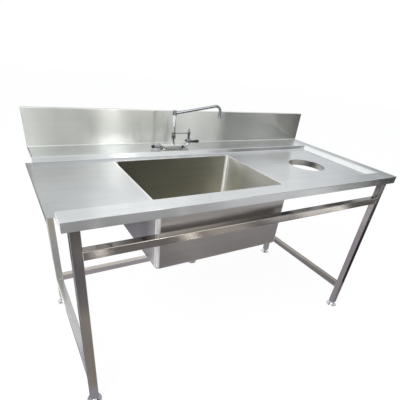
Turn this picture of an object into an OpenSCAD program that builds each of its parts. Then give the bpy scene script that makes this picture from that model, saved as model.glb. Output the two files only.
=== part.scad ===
// Commercial sink table: recessed top with scrap hole, deep bowl, splash, tube frame and swing tap.
// Millimetres, +Z up, front towards -Y, origin on the floor under the middle of the outline.

/* [Top] */
// Length from the open left lip to the right rim
length = 1500; // [1440:10:1800]
// Depth from the front apron to the back of the splash
depth = 700; // [690:5:800]
// Height of the rim and the rear ledge
height = 800; // [740:5:900]
// Thickness of the stainless sheet
sheet = 1.5; // [1:0.1:2]
// How far the recessed surface runs out past the left end
left_lip = 24; // [10:1:60]
// Height of the turned-down edge of that lip
lip_h = 12; // [6:1:20]
// Width of the flat front rim
front_rim = 68; // [60:1:90]
// Width of the flat right rim
right_rim = 53; // [35:1:90]
// Width of the flat rear ledge
ledge = 137; // [110:1:140]
// Depth of the recess below the rim
step_h = 19; // [10:1:25]
// Slope width of the front and rear steps
step_run = 6; // [3:0.5:12]
// Slope width of the right step
right_step_run = 22; // [8:1:30]
// Height of the apron
apron_h = 32; // [30:1:60]
// Width of the hem turned in at the foot of the apron
hem_w = 12; // [6:1:14]
// Outside radius of the folded edges
bend_r = 3; // [2.5:0.1:5]

/* [Splash] */
// Height of the splash above the ledge
splash_h = 146; // [80:1:300]
// Depth of the return at its top
splash_return = 18; // [12:1:25]
// Height of the lip turned down behind the return
splash_lip = 14; // [8:1:25]

/* [Bowl] */
// Distance from the left lip to the bowl
bowl_from_left = 318; // [260:1:330]
// Inside length of the bowl
bowl_l = 556; // [400:1:570]
// Width of the recessed surface behind the bowl
back_strip = 42; // [20:1:120]
// Inside depth of the bowl below the recessed surface
bowl_d = 252; // [200:1:300]
// Inside radius of the corners
bowl_r = 14; // [8:1:25]
// Width of the welding flange
bowl_flange = 12; // [6:1:16]

/* [Scrap hole] */
// Radius of the hole in the top
scrap_r = 88; // [60:1:110]
// Distance of its centre from the right end
scrap_from_right = 299; // [250:1:320]
// Distance of its centre from the front
scrap_from_front = 290; // [220:1:340]
// Depth of the turned-down collar
collar_h = 28; // [15:1:50]

/* [Frame] */
// Outside width of the square tube
tube = 30; // [25:1:34]
// Wall of the square tube
tube_wall = 1.5; // [1:0.1:2]
// Outside corner radius of the square tube
tube_r = 3; // [2.2:0.1:4]
// Distance of the left legs from the left end of the rim
leg_left = 20; // [14:1:40]
// Distance of the right legs from the right end
leg_right = 30; // [14:1:40]
// Distance of the front legs from the front
leg_front = 16; // [15:1:20]
// Distance of the rear legs from the splash face
leg_rear = 9; // [9:1:30]
// Height of the underside of the front rail
rail_z = 661; // [560:1:700]
// Height of the underside of the side rails
side_rail_z = 125; // [80:1:300]
// Height of the underside of the rear rail
rear_rail_z = 146; // [80:1:300]
// Thickness of the plates at the leg tops
plate_t = 3; // [2:0.5:5]
// Width of each plate beyond the leg
plate_rim = 7; // [4:0.5:7]
// Height of the channels under the top
channel_h = 18; // [12:1:25]
// Width of the channels under the top
channel_w = 40; // [25:1:50]

/* [Feet] */
// Height of the leg ends above the floor
leg_gap = 25; // [22:1:40]
// Radius of the foot flange
foot_r = 27.5; // [20:0.5:32]
// Thickness of the foot flange
foot_t = 6; // [4:0.5:8]
// Radius of the foot hub
hub_r = 11; // [9:0.5:14]
// Radius of the screw
screw_r = 6; // [5:0.5:7]
// Depth of the plug inside the leg
plug_h = 20; // [15:1:28]
// Thickness of the plug's flange
plug_flange = 2; // [1.5:0.5:4]
// Height that the foot can be screwed out
foot_travel = 20; // [10:1:25]

/* [Waste] */
// Radius of the hole in the bowl
waste_r = 44; // [40:0.5:50]
// Width of the flange on the bowl floor
waste_flange_w = 13; // [8:0.5:20]
// Thickness of that flange
waste_flange_t = 2; // [1.5:0.5:4]
// Depth of the waste cup
cup_h = 48; // [40:1:60]
// Wall of the waste cup
cup_wall = 2; // [1.5:0.5:3]
// Outside radius of the outlet pipe
pipe_r = 20; // [16:0.5:25]
// Wall of the outlet pipe
pipe_wall = 1.5; // [1:0.5:3]
// Length of the outlet pipe
pipe_l = 95; // [60:1:110]

/* [Tap] */
// Distance of the riser from the left lip
tap_from_left = 607; // [500:1:700]
// Distance of the tap behind the front edge of the ledge
tap_set_back = 21; // [19:1:60]
// Thickness of the base plate
plate_h = 6; // [4:0.5:8]
// Width of the base plate, front to back
plate_w = 34; // [30:1:36]
// Length of the base plate beyond each inlet
plate_end = 20; // [16:1:24]
// Height of the tap body's axis above the ledge
body_z = 17; // [17:1:24]
// Radius of the tap body
body_r = 9.5; // [9:0.5:10.5]
// Bend radius of the two elbows on the body
elbow_r = 13; // [11:1:18]
// Radius of the riser
riser_r = 7; // [6.5:0.5:8]
// Height of the top of the riser above the ledge
riser_top = 148; // [120:1:300]
// Height of the union nut above the ledge
union_z = 50; // [40:1:60]
// Length of the union nut
union_h = 16; // [10:1:20]
// Distance of the valve post from the riser
post_x = 77; // [72:1:100]
// Radius of the valve post
post_r = 5.5; // [4.5:0.5:6]
// Height of the lever valve above the ledge
valve_z = 39; // [38:1:44]
// Radius of the valve block
valve_r = 8; // [6:0.5:9]
// Distance of the stop valve from the riser
stop_x = 39; // [24:1:40]
// Spacing of the two inlets
inlet_gap = 100; // [90:1:104]
// Distance of the first inlet to the left of the riser
inlet_left = 43; // [38:1:46]
// Radius of the threaded inlets
inlet_r = 10; // [9:0.5:10.5]
// Length of the threaded inlets under the ledge
inlet_l = 48; // [35:1:60]
// Radius of the inlets' tails, where the hoses screw on
tail_r = 9; // [8:0.5:9]
// Thickness of the back nuts and washers together
nut_stack = 12; // [8:1:14]
// Radius of the spout tube
spout_r = 5.5; // [4.5:0.5:6]
// Reach of the spout
spout_reach = 194; // [150:1:300]
// Rise angle of the spout
spout_rise = 16; // [8:1:20]
// Bend radius at the end of the spout
spout_bend = 18; // [15:1:30]
// Length of the drop after the bend
spout_drop = 25; // [16:1:40]
// Direction of the spout at rest, turned forwards from the right
spout_aim = 35; // [0:1:90]
// Length of the coned handle
cone_l = 22; // [16:1:30]
// Radius of the coned handle's skirt
skirt_r = 14; // [11:0.5:15]
// Length of the black grip on the lever
grip_l = 39; // [30:1:60]

/* [Hidden] */
$fn = 64;

// Planes of the top
x_left = -length / 2;
x_rim = x_left + left_lip;
x_right = length / 2;
x_step_top = x_right - right_rim;
x_step_foot = x_step_top - right_step_run;
y_front = -depth / 2;
y_back = depth / 2;
y_face = y_back - splash_return;
y_rim = y_front + front_rim;
y_ledge = y_face - ledge;
z_pan = height - step_h;
z_apron = height - apron_h;
over = 5;

// Bowl
bowl_x = x_left + bowl_from_left;
bowl_end = bowl_x + bowl_l;
bowl_w = y_ledge - back_strip - y_rim;
z_floor = z_pan - sheet - bowl_d;
waste_x = bowl_x + bowl_l / 2;
waste_y = y_rim + bowl_w / 2;

// Scrap hole
scrap_x = x_right - scrap_from_right;
scrap_y = y_front + scrap_from_front;

// Frame
leg_xl = x_rim + leg_left;
leg_xr = x_right - leg_right - tube;
leg_yf = y_front + leg_front;
leg_yr = y_face - leg_rear - tube;
leg_top = height - sheet;
channel_gap = 4;
bore = tube - 2 * tube_wall;
bore_r = tube_r - tube_wall;

// Fits, and the lap of one block in the next where a piece is built of several
running = 0.05;
gap = 0.3;
lap = 1;

// Feet
screw_l = plug_h + foot_travel;
edge = 1;
hub_slope = 5;
hub_flare = 4;

// Waste
neck_r = waste_r - 1;
seal_t = 3;
seal_w = 12;
waste_nut_h = 12;
waste_nut_w = 13;
notch_r = 5;
outlet_l = 22;
outlet_z = z_floor - cup_h - outlet_l;
thread_w = 3;
slip_h = 24;
slip_floor = 4;
slip_wall = 5;
tail_flange = 3;
tail_step = 1;
tail_neck = tail_flange + slip_floor + lap;
basket_t = 1;
basket_lip = 4;
basket_taper = 3;
basket_d = cup_h - 10;
basket_rows = [12, 20, 28];
basket_hole = 1.8;
knob_r = 9;
knob_h = 36;
knob_stem = 3;

// Tap, measured from the riser's axis and the top of the ledge
tap_x = x_left + tap_from_left;
tap_y = y_ledge + tap_set_back;
inlets = [-inlet_left, inlet_gap - inlet_left];
hole_play = 1;
plate_r = 12;
washer_h = 3;
nut_end = sheet + nut_stack + 1;
elbow_top = body_z + elbow_r;
bar_over = 10;
bar_left = -inlet_left - bar_over;
bar_right = post_x - elbow_r;
gland_l = 8;
gland_gap = 5;
handle_x = bar_left - gland_l - gland_gap;
cap_l = 13;
cap_r = 6.6;
skirt_t = 3;
spindle_r = 2.5;
stem_r = 2;
socket = 4;
cartridge_l = 24;
cartridge_r = 5.5;
boss_l = 12;
boss_bore = 4.5;
stop_boss = 4;
stop_stem = 8;
stop_y = body_r + stop_boss;
link_ring = 4;
link_gap = 2;
link_wall = 2.5;
link_r = 2.5;
link_z = union_z + union_h + link_gap + link_ring;
post_top = link_z + link_ring;
valve_l = 12;
post_bend_r = body_r - 1.5;
hub_half = 4.5;
grip_y = boss_l + gap + hub_half;
grip_x = 6;

// Spout, in the upright plane through its tube
spigot_r = 5;
hub_r_out = 9;
hub_l = 15;
spigot_h = hub_l + 2 * gap;
hub_z = riser_top + gap;
tube_z = hub_z + 6.5;
groove = 1.5;
nozzle_seat = 4;
nozzle_wall = 1.4;
bend_x = spout_reach - spout_bend;
rise_x = bend_x - spout_bend * sin(spout_rise);
rise_l = rise_x / cos(spout_rise);
bend_z = tube_z + rise_x * tan(spout_rise) - spout_bend * cos(spout_rise);
tip_z = bend_z - spout_drop;
sleeve = 0.6;
nozzle_h = 13;
seal_h = 2;
seal_z = [hub_z + 2.5, hub_z + 10.5];

// Rounded rectangle with its corner at the origin
module round_rect(w, d, r) {
    translate([r, 0]) square([w - 2 * r, d]);
    translate([0, r]) square([w, d - 2 * r]);
    for (x = [r, w - r], y = [r, d - r]) translate([x, y]) circle(r);
}

// Profile in the Y-Z plane drawn along X from x0 to x1
module along_x(x0, x1) {
    translate([x0, 0, 0]) rotate([90, 0, 90]) linear_extrude(x1 - x0) children();
}

// Profile in the X-Z plane drawn along Y from y0 to y1
module along_y(y0, y1) {
    translate([0, y1, 0]) rotate([90, 0, 0]) linear_extrude(y1 - y0) children();
}

// Block with its top front, top right and front right edges rounded, inset by i on every folded side
module apron_block(i, bottom) {
    r = bend_r - i;
    x0 = x_rim + i;
    x1 = x_right - i;
    y0 = y_front + i;
    y1 = y_face - i;
    top = height - i;
    translate([x0, y0 + r, bottom]) cube([x1 - r - x0, y1 - y0 - r, top - bottom]);
    translate([x0, y0, bottom]) cube([x1 - r - x0, r + lap, top - r - bottom]);
    translate([x1 - r - lap, y0 + r, bottom]) cube([r + lap, y1 - y0 - r, top - r - bottom]);
    translate([x0, y0 + r, top - r]) rotate([0, 90, 0]) cylinder(r = r, h = x1 - r - x0);
    translate([x1 - r, y0 + r, top - r]) rotate([-90, 0, 0]) cylinder(r = r, h = y1 - y0 - r);
    translate([x1 - r, y0 + r, bottom]) cylinder(r = r, h = top - r - bottom);
    translate([x1 - r, y0 + r, top - r]) sphere(r);
}

// Room in the recess, open at the top and at the left
module recess_room() {
    top = height + over;
    left = x_left - over;
    intersection() {
        along_x(left, x_right) polygon([[y_rim, top], [y_rim, height], [y_rim + step_run, z_pan],
            [y_ledge - step_run, z_pan], [y_ledge, height], [y_ledge, top]]);
        along_y(y_front, y_back) polygon([[left, top], [left, z_pan], [x_step_foot, z_pan],
            [x_step_top, height], [x_step_top, top]]);
    }
}

// Sideways shift that gives a sloping step of this run the sheet's thickness
function step_shift(run) = sheet * sqrt(run * run + step_h * step_h) / step_h;

// Solid under the recess, one sheet lower than its floor and steps
module recess_block() {
    low = z_pan - sheet;
    extra = sheet / step_h;
    dy = step_shift(step_run);
    dx = step_shift(right_step_run);
    foot_y = step_run * (1 + extra) - dy;
    foot_x = x_step_foot - right_step_run * extra + dx;
    intersection() {
        along_x(x_left, x_right) polygon([[y_rim - dy, height], [y_rim + foot_y, low],
            [y_ledge - foot_y, low], [y_ledge + dy, height]]);
        along_y(y_front, y_back) polygon([[x_left, height], [x_left, low], [foot_x, low],
            [x_step_top + dx, height]]);
    }
}

// Room over the flat part that runs out past the left end of the rims
module end_clear() {
    translate([x_left - over, y_front, z_pan]) cube([left_lip + over, depth, step_h + over]);
}

// Triangular cheek that closes the end of the front step beside the bowl
module step_cheek(x0) {
    along_x(x0, x0 + sheet) polygon([[y_rim - sheet, z_pan - sheet], [y_rim - sheet, height - sheet],
        [y_rim, height], [y_rim + step_run, z_pan], [y_rim + step_run, z_pan - sheet]]);
}

module worktop() {
    color("#c3c6c6") difference() {
        union() {
            difference() {
                union() {
                    difference() {
                        apron_block(0, z_apron);
                        apron_block(sheet, z_apron - over);
                    }
                    recess_block();
                }
                recess_room();
                end_clear();
            }
            translate([x_left, y_rim, z_pan - lip_h]) cube([sheet, y_ledge - y_rim, lip_h]);
            hem();
            step_cheek(bowl_x - sheet);
            step_cheek(bowl_end);
        }
        translate([bowl_x, y_rim, z_pan - over]) bowl_cut(step_h + 2 * over);
        translate([bowl_x, y_rim - 2 * sheet, z_pan - over]) cube([bowl_l, 3 * sheet, step_h + over - sheet]);
        translate([scrap_x, scrap_y, z_pan - over]) cylinder(r = scrap_r, h = 2 * over);
        for (x = inlets) translate([tap_x + x, tap_y, height - over])
            cylinder(r = inlet_r + hole_play, h = 2 * over);
    }
}

// Opening for the bowl: square at the front, where the rim ends, and rounded at the back
module bowl_cut(h) {
    linear_extrude(h) {
        round_rect(bowl_l, bowl_w, bowl_r);
        square([bowl_l, bowl_w / 2]);
    }
}

// Hem turned in at the foot of the front, right and left aprons
module hem() {
    x1 = x_right - bend_r;
    translate([x_rim, y_front + sheet / 2, z_apron]) cube([x1 - x_rim, hem_w, sheet]);
    translate([x_right - sheet / 2 - hem_w, y_front + bend_r, z_apron])
        cube([hem_w, y_face - y_front - bend_r, sheet]);
    translate([x_rim, y_front + sheet, z_apron]) cube([hem_w, y_face - y_front - sheet, sheet]);
}

module backsplash() {
    top = height + splash_h;
    foot = z_apron;
    color("#b9bbb7") {
        difference() {
            along_x(x_rim, x_right) splash_profile(0, foot, top);
            along_x(x_rim + sheet, x_right - sheet) splash_profile(sheet, foot - over, top);
            translate([x_rim + sheet, y_face + sheet, foot - over])
                cube([x_right - x_rim - 2 * sheet, splash_return, top - splash_lip - foot + over]);
        }
    }
}

// Section of the splash with its folded top, inset by i
module splash_profile(i, foot, top) {
    r = bend_r - i;
    translate([y_face + i, foot]) square([splash_return - 2 * i, top - bend_r - foot]);
    translate([y_face + bend_r, foot]) square([splash_return - 2 * bend_r, top - i - foot]);
    for (y = [y_face + bend_r, y_back - bend_r]) translate([y, top - bend_r]) circle(r);
}

// Solid tub with rounded upright and bottom edges, its corner at the origin
module tub(w, d, h, r) {
    translate([r, r, 0]) cube([w - 2 * r, d - 2 * r, h]);
    translate([0, r, r]) cube([w, d - 2 * r, h - r]);
    translate([r, 0, r]) cube([w - 2 * r, d, h - r]);
    for (x = [r, w - r], y = [r, d - r]) {
        translate([x, y, r]) cylinder(r = r, h = h - r);
        translate([x, y, r]) sphere(r);
    }
    for (y = [r, d - r]) translate([r, y, r]) rotate([0, 90, 0]) cylinder(r = r, h = w - 2 * r);
    for (x = [r, w - r]) translate([x, r, r]) rotate([-90, 0, 0]) cylinder(r = r, h = d - 2 * r);
}

module sink_bowl() {
    color("#a7a59f") difference() {
        union() {
            translate([bowl_x - sheet, y_rim - sheet, z_floor - sheet])
                tub(bowl_l + 2 * sheet, bowl_w + 2 * sheet, bowl_d + sheet, bowl_r + sheet);
            translate([bowl_x - bowl_flange, y_rim - sheet, z_pan - 2 * sheet])
                cube([bowl_l + 2 * bowl_flange, bowl_w + sheet + bowl_flange, sheet]);
            translate([bowl_x, y_rim - sheet, z_pan - 2 * sheet])
                cube([bowl_l, sheet, step_h + sheet]);
        }
        translate([bowl_x, y_rim, z_floor]) tub(bowl_l, bowl_w, bowl_d + step_h + over, bowl_r);
        translate([waste_x, waste_y, z_floor - over]) cylinder(r = waste_r, h = 2 * over);
    }
}

module scrap_collar() {
    color("#8f918f") translate([scrap_x, scrap_y, z_pan - collar_h]) difference() {
        cylinder(r = scrap_r, h = collar_h);
        translate([0, 0, -over]) cylinder(r = scrap_r - sheet, h = collar_h + 2 * over);
    }
}

// Channels under the pan, midway between the openings
module top_stiffeners() {
    z1 = z_pan - sheet;
    inset = step_run + channel_gap;
    color("#a9abab") for (x = [(x_rim + bowl_x) / 2, (bowl_end + scrap_x - scrap_r) / 2,
        (scrap_x + scrap_r + x_step_foot) / 2]) {
        along_y(y_rim + inset, y_ledge - inset) translate([x - channel_w / 2, z1 - channel_h]) difference() {
            square([channel_w, channel_h]);
            translate([sheet, -over]) square([channel_w - 2 * sheet, channel_h + over - sheet]);
        }
    }
}

module leg_section() {
    difference() {
        round_rect(tube, tube, tube_r);
        translate([tube_wall, tube_wall]) round_rect(bore, bore, bore_r);
    }
}

module leg(x, y) {
    color("#86868a") translate([x, y, leg_gap]) linear_extrude(leg_top - leg_gap) leg_section();
}

module leg_plates() {
    w = tube + 2 * plate_rim;
    color("#9a9c9c") for (x = [leg_xl, leg_xr], y = [leg_yf, leg_yr])
        translate([x, y, leg_top - plate_t]) linear_extrude(plate_t) difference() {
            translate([-plate_rim, -plate_rim]) square([w, w]);
            round_rect(tube, tube, tube_r);
        }
}

module rail_x(x0, x1, y, z) {
    color("#9b9a94") translate([x0, y, z]) rotate([90, 0, 90]) linear_extrude(x1 - x0) leg_section();
}

module rail_y(x, y0, y1, z) {
    color("#9b9a94") translate([x, y1, z]) rotate([90, 0, 0]) linear_extrude(y1 - y0) leg_section();
}

module front_rail() { rail_x(leg_xl + tube, leg_xr, leg_yf, rail_z); }
module rear_rail() { rail_x(leg_xl + tube, leg_xr, leg_yr, rear_rail_z); }
module side_rail_left() { rail_y(leg_xl, leg_yf + tube, leg_yr, side_rail_z); }
module side_rail_right() { rail_y(leg_xr, leg_yf + tube, leg_yr, side_rail_z); }

module foot_inserts() {
    color("#3a3a3c") for (x = [leg_xl, leg_xr], y = [leg_yf, leg_yr])
        translate([x, y, leg_gap]) difference() {
            union() {
                translate([tube_wall, tube_wall, 0]) linear_extrude(plug_h) round_rect(bore, bore, bore_r);
                translate([0, 0, -plug_flange]) linear_extrude(plug_flange) round_rect(tube, tube, tube_r);
            }
            translate([tube / 2, tube / 2, -over]) cylinder(r = screw_r + running, h = plug_h + 2 * over);
        }
}

// Turned foot: flange, coned hub and screw
module foot(x, y) {
    hub_top = leg_gap - plug_flange - gap;
    color("#d4d6d8") translate([x + tube / 2, y + tube / 2, 0]) rotate_extrude()
        polygon([[0, 0], [foot_r - edge, 0], [foot_r, edge], [foot_r, foot_t - 2 * edge],
            [foot_r - 2 * edge, foot_t], [hub_r + hub_flare, foot_t], [hub_r, foot_t + hub_slope],
            [hub_r, hub_top], [screw_r, hub_top], [screw_r, hub_top + screw_l - edge],
            [screw_r - edge, hub_top + screw_l], [0, hub_top + screw_l]]);
}

// Waste cup seated on the bowl floor, with the outlet spigot under it
module waste_flange() {
    r = neck_r;
    t = waste_flange_t;
    rim = waste_r + waste_flange_w;
    seat = r - cup_wall;
    mouth = pipe_r - pipe_wall;
    end = cup_h + outlet_l;
    color("#d0d2d3") translate([waste_x, waste_y, z_floor]) rotate_extrude()
        polygon([[seat, t], [seat, -cup_h], [mouth, -cup_h], [mouth, -end], [pipe_r + thread_w, -end],
            [pipe_r + thread_w, -cup_h - cup_wall], [r, -cup_h - cup_wall], [r, 0], [rim, 0],
            [rim, t / 2], [rim - t, t]]);
}

module ring(x, y, z, r_in, r_out, h) {
    translate([x, y, z]) rotate_extrude() translate([r_in, 0]) square([r_out - r_in, h]);
}

module waste_seal() {
    color("#2b2b2b") ring(waste_x, waste_y, z_floor - sheet - seal_t, neck_r, neck_r + seal_w, seal_t);
}

module waste_nut() {
    h = waste_nut_h + 2 * lap;
    color("#b5b7b8") translate([waste_x, waste_y, z_floor - sheet - seal_t - waste_nut_h]) difference() {
        cylinder(r = neck_r + waste_nut_w, h = waste_nut_h);
        translate([0, 0, -lap]) cylinder(r = neck_r, h = h);
        for (a = [0:45:315]) rotate(a) translate([neck_r + waste_nut_w + 2, 0, -lap])
            cylinder(r = notch_r, h = h);
    }
}

// Coupling nut that holds the outlet pipe to the spigot
module waste_slip_nut() {
    z = outlet_z - tail_flange - slip_floor;
    color("#b5b7b8") translate([waste_x, waste_y, z]) difference() {
        cylinder(r = pipe_r + thread_w + slip_wall, h = slip_h, $fn = 8);
        translate([0, 0, slip_floor]) cylinder(r = pipe_r + thread_w, h = slip_h);
        translate([0, 0, -lap]) cylinder(r = pipe_r + tail_step + running, h = slip_h);
    }
}

// Outlet pipe with a stepped neck and a flange, which the coupling nut draws up to the spigot
module waste_tailpiece() {
    color("#c9cbcc") translate([waste_x, waste_y, outlet_z]) difference() {
        union() {
            translate([0, 0, -pipe_l]) cylinder(r = pipe_r, h = pipe_l);
            translate([0, 0, -tail_neck]) cylinder(r = pipe_r + tail_step, h = tail_neck);
            translate([0, 0, -tail_flange]) cylinder(r = pipe_r + thread_w - gap, h = tail_flange);
        }
        translate([0, 0, -pipe_l - lap]) cylinder(r = pipe_r - pipe_wall, h = pipe_l + 2 * lap);
    }
}

// Lift-out basket that hangs by its rim in the waste cup
module strainer_basket() {
    r = neck_r - cup_wall - gap;
    t = basket_t;
    d = basket_d;
    foot_r_out = r - basket_taper;
    color("#c4c6c8") translate([waste_x, waste_y, z_floor + waste_flange_t]) difference() {
        rotate_extrude() polygon([[r + basket_lip, gap], [r + basket_lip, gap + t], [r - t, gap + t],
            [foot_r_out - t, t - d], [0, t - d], [0, -d], [foot_r_out, -d], [r, gap]]);
        for (row = basket_rows) for (a = [0:720 / row:359]) rotate(a)
            translate([row, 0, -d - lap]) cylinder(r = basket_hole, h = t + 2 * lap);
    }
}

module basket_knob() {
    z = z_floor + waste_flange_t - basket_d + basket_t;
    r = knob_r;
    h = knob_h;
    color("#c4c6c8") translate([waste_x, waste_y, z]) rotate_extrude()
        polygon([[0, 0], [r, 0], [r, 3], [knob_stem, 5], [knob_stem, h - 12], [r - 1, h - 9], [r, h - 5],
            [r - 2, h - 1], [0, h]]);
}

// Moves a piece of the tap to the riser's axis on the ledge
module at_tap() {
    translate([tap_x, tap_y, height]) children();
}

module tap_base_plate() {
    color("#cfd1d2") at_tap() difference() {
        translate([inlets[0] - plate_end, -plate_w / 2, 0]) linear_extrude(plate_h)
            round_rect(inlet_gap + 2 * plate_end, plate_w, plate_r);
        for (x = inlets) translate([x, 0, -lap]) cylinder(r = inlet_r, h = plate_h + 2 * lap);
    }
}

// Quarter bend of the body, from the bar up to a pipe at x
module elbow(x, r) {
    translate([x - elbow_r, 0, elbow_top]) rotate([-90, 0, 0]) rotate_extrude(angle = 90)
        translate([elbow_r, 0]) circle(r);
}

module tap_body() {
    color("#d2d4d6") at_tap() difference() {
        union() {
            translate([bar_left, 0, body_z]) rotate([0, 90, 0])
                cylinder(r = body_r, h = bar_right - bar_left);
            elbow(0, body_r - 1);
            elbow(post_x, post_bend_r);
            for (x = inlets) translate([x, 0, plate_h]) cylinder(r = inlet_r + lap, h = body_z - plate_h);
            translate([bar_left - gland_l, 0, body_z]) rotate([0, 90, 0])
                cylinder(r = body_r + lap, h = gland_l + lap, $fn = 6);
            translate([stop_x, 0, body_z]) rotate([90, 0, 0]) cylinder(r = 5, h = stop_y);
        }
        translate([bar_left - gland_l - lap, 0, body_z]) rotate([0, 90, 0])
            cylinder(r = cartridge_r, h = cartridge_l + 4);
        translate([stop_x, -stop_y - lap, body_z]) rotate([-90, 0, 0])
            cylinder(r = stem_r + running, h = stop_stem + 2 * lap);
    }
}

module tap_shanks() {
    color("#b9a774") at_tap() for (x = inlets) translate([x, 0, 0]) difference() {
        union() {
            translate([0, 0, -nut_end]) cylinder(r = inlet_r, h = nut_end + plate_h);
            translate([0, 0, -inlet_l]) cylinder(r = tail_r, h = inlet_l);
        }
        translate([0, 0, -inlet_l - lap]) cylinder(r = tail_r - 3, h = inlet_l + plate_h - 3);
    }
}

module tap_washers() {
    color("#2b2b2b") at_tap() for (x = inlets)
        ring(x, 0, -sheet - washer_h, inlet_r, inlet_r + 7, washer_h);
}

module tap_back_nuts() {
    color("#b9a774") at_tap() for (x = inlets) translate([x, 0, -sheet - nut_stack]) difference() {
        cylinder(r = inlet_r + 6, h = nut_stack - washer_h, $fn = 6);
        translate([0, 0, -lap]) cylinder(r = inlet_r, h = nut_stack);
    }
}

// Riser tube with a turned collar at its foot and a spigot at its top for the spout
module tap_riser() {
    color("#d6d8da") at_tap() difference() {
        union() {
            translate([0, 0, elbow_top]) cylinder(r = riser_r + 2, h = 6);
            translate([0, 0, elbow_top]) cylinder(r = riser_r, h = riser_top - elbow_top);
            translate([0, 0, riser_top - 8]) cylinder(r = riser_r + 1.5, h = 8);
            translate([0, 0, riser_top]) cylinder(r = spigot_r, h = spigot_h);
        }
        translate([0, 0, elbow_top - lap]) cylinder(r = 3, h = riser_top - elbow_top + 10);
    }
}

module tap_union_nut() {
    color("#cdd0d2") at_tap() difference() {
        translate([0, 0, union_z]) cylinder(r = riser_r + 3.5, h = union_h, $fn = 8);
        translate([0, 0, union_z - lap]) cylinder(r = riser_r, h = union_h + 2 * lap);
    }
}

// Domed cap screwed on the spigot over the spout's hub
module spout_cap() {
    r = hub_r_out - 1;
    color("#cdd0d2") at_tap() translate([0, 0, riser_top + spigot_h]) rotate_extrude()
        polygon([[0, 0], [r, 0], [r, 2], [r - 1.5, 3.6], [r - 4.5, 4.8], [0, 5.2]]);
}

// Spout: bored hub on the spigot, rising tube, end bend and sleeved drop
module spout() {
    color("#dadcde") at_tap() rotate(-spout_aim) difference() {
        union() {
            translate([0, 0, hub_z]) cylinder(r = hub_r_out, h = hub_l);
            translate([0, 0, tube_z]) rotate([0, -spout_rise, 0]) {
                rotate([0, 90, 0]) cylinder(r = spout_r, h = rise_l);
                translate([rise_l, 0, -spout_bend]) rotate([-90, -90, 0])
                    rotate_extrude(angle = 90 + spout_rise) translate([spout_bend, 0]) circle(spout_r);
            }
            translate([spout_reach, 0, tip_z]) cylinder(r = spout_r + sleeve, h = spout_drop + lap);
        }
        translate([0, 0, hub_z - lap]) cylinder(r = spigot_r + running, h = hub_l + 2 * lap);
        for (z = seal_z) ring(0, 0, z, spigot_r - lap, spigot_r + groove, seal_h);
        translate([spout_reach, 0, tip_z - lap]) cylinder(r = spout_r - 1.5, h = 8);
    }
}

// Sealing rings in the two grooves of the hub
module spout_seals() {
    color("#232323") at_tap() for (z = seal_z) ring(0, 0, z, spigot_r + running, spigot_r + groove, seal_h);
}

// Nozzle screwed over the end of the drop
module spout_nozzle() {
    r = spout_r + sleeve;
    z = tip_z - nozzle_seat;
    color("#c8cacc") at_tap() rotate(-spout_aim) translate([spout_reach, 0, z]) difference() {
        cylinder(r = r + nozzle_wall, h = nozzle_h);
        translate([0, 0, nozzle_seat]) cylinder(r = r, h = nozzle_h);
        translate([0, 0, -lap]) cylinder(r = r - 2.5, h = nozzle_h);
    }
}

// Fixed sleeve of the left valve inside the bar
module hot_cartridge() {
    color("#b9a774") at_tap() translate([bar_left - gland_l + 1, 0, body_z]) rotate([0, 90, 0])
        difference() {
            cylinder(r = cartridge_r, h = cartridge_l);
            translate([0, 0, -lap]) cylinder(r = spindle_r + running, h = cartridge_l - 2);
        }
}

module hot_spindle() {
    x0 = handle_x - socket;
    x1 = bar_left - gland_l + cartridge_l - 4;
    color("#b9a774") at_tap() translate([x0, 0, body_z]) rotate([0, 90, 0])
        cylinder(r = spindle_r, h = x1 - x0);
}

// Coned chrome handle with a round skirt, on the spindle
module hot_handle() {
    end = skirt_t + cone_l;
    color("#d4d6d8") at_tap() translate([handle_x, 0, body_z]) rotate([0, -90, 0]) rotate_extrude()
        polygon([[spindle_r, 0], [skirt_r, 0], [skirt_r, skirt_t], [10.5, skirt_t + 1], [9.5, skirt_t + 5],
            [5.5, end], [0, end], [0, socket], [spindle_r, socket]]);
}

module hot_handle_cap() {
    color("#1d1d1f") at_tap() translate([handle_x - skirt_t - cone_l, 0, body_z]) rotate([0, -90, 0])
        rotate_extrude() polygon([[0, 0], [cap_r - 0.6, 0], [cap_r, 2], [cap_r, cap_l - 2],
            [cap_r - 1.6, cap_l], [0, cap_l]]);
}

// Valve post: bored valve block across a pipe that rises to the link
module valve_post() {
    color("#d2d4d6") at_tap() translate([post_x, 0, 0]) difference() {
        union() {
            translate([0, 0, elbow_top]) cylinder(r = post_bend_r, h = valve_z - elbow_top);
            translate([-valve_l, 0, valve_z]) rotate([0, 90, 0]) cylinder(r = valve_r, h = 2 * valve_l);
            translate([0, 0, valve_z]) rotate([90, 0, 0]) cylinder(r = valve_r - 1, h = boss_l);
            translate([0, 0, valve_z]) cylinder(r = post_r, h = post_top - valve_z);
        }
        translate([0, -boss_l - lap, valve_z]) rotate([-90, 0, 0])
            cylinder(r = boss_bore, h = boss_l + 2 * lap);
    }
}

module cold_cartridge() {
    l = boss_l;
    color("#b9a774") at_tap() translate([post_x, 1 - l, valve_z]) rotate([-90, 0, 0]) difference() {
        cylinder(r = boss_bore, h = l);
        translate([0, 0, -lap]) cylinder(r = stem_r + running, h = l - lap);
    }
}

module valve_end_cap() {
    color("#1d1d1f") at_tap() translate([post_x - valve_l, 0, valve_z]) rotate([0, -90, 0])
        rotate_extrude() polygon([[0, 0], [4.5, 0], [4.5, 3], [3, 5], [0, 5]]);
}

// Tapered vent nipple on the post
module post_nipple() {
    r = post_r + 0.5;
    color("#e2e4e6") at_tap() translate([post_x, 0, post_top]) rotate_extrude()
        polygon([[0, 0], [r, 0], [r, 3], [r - 2, 5], [r - 3.8, 16], [0, 17]]);
}

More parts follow.
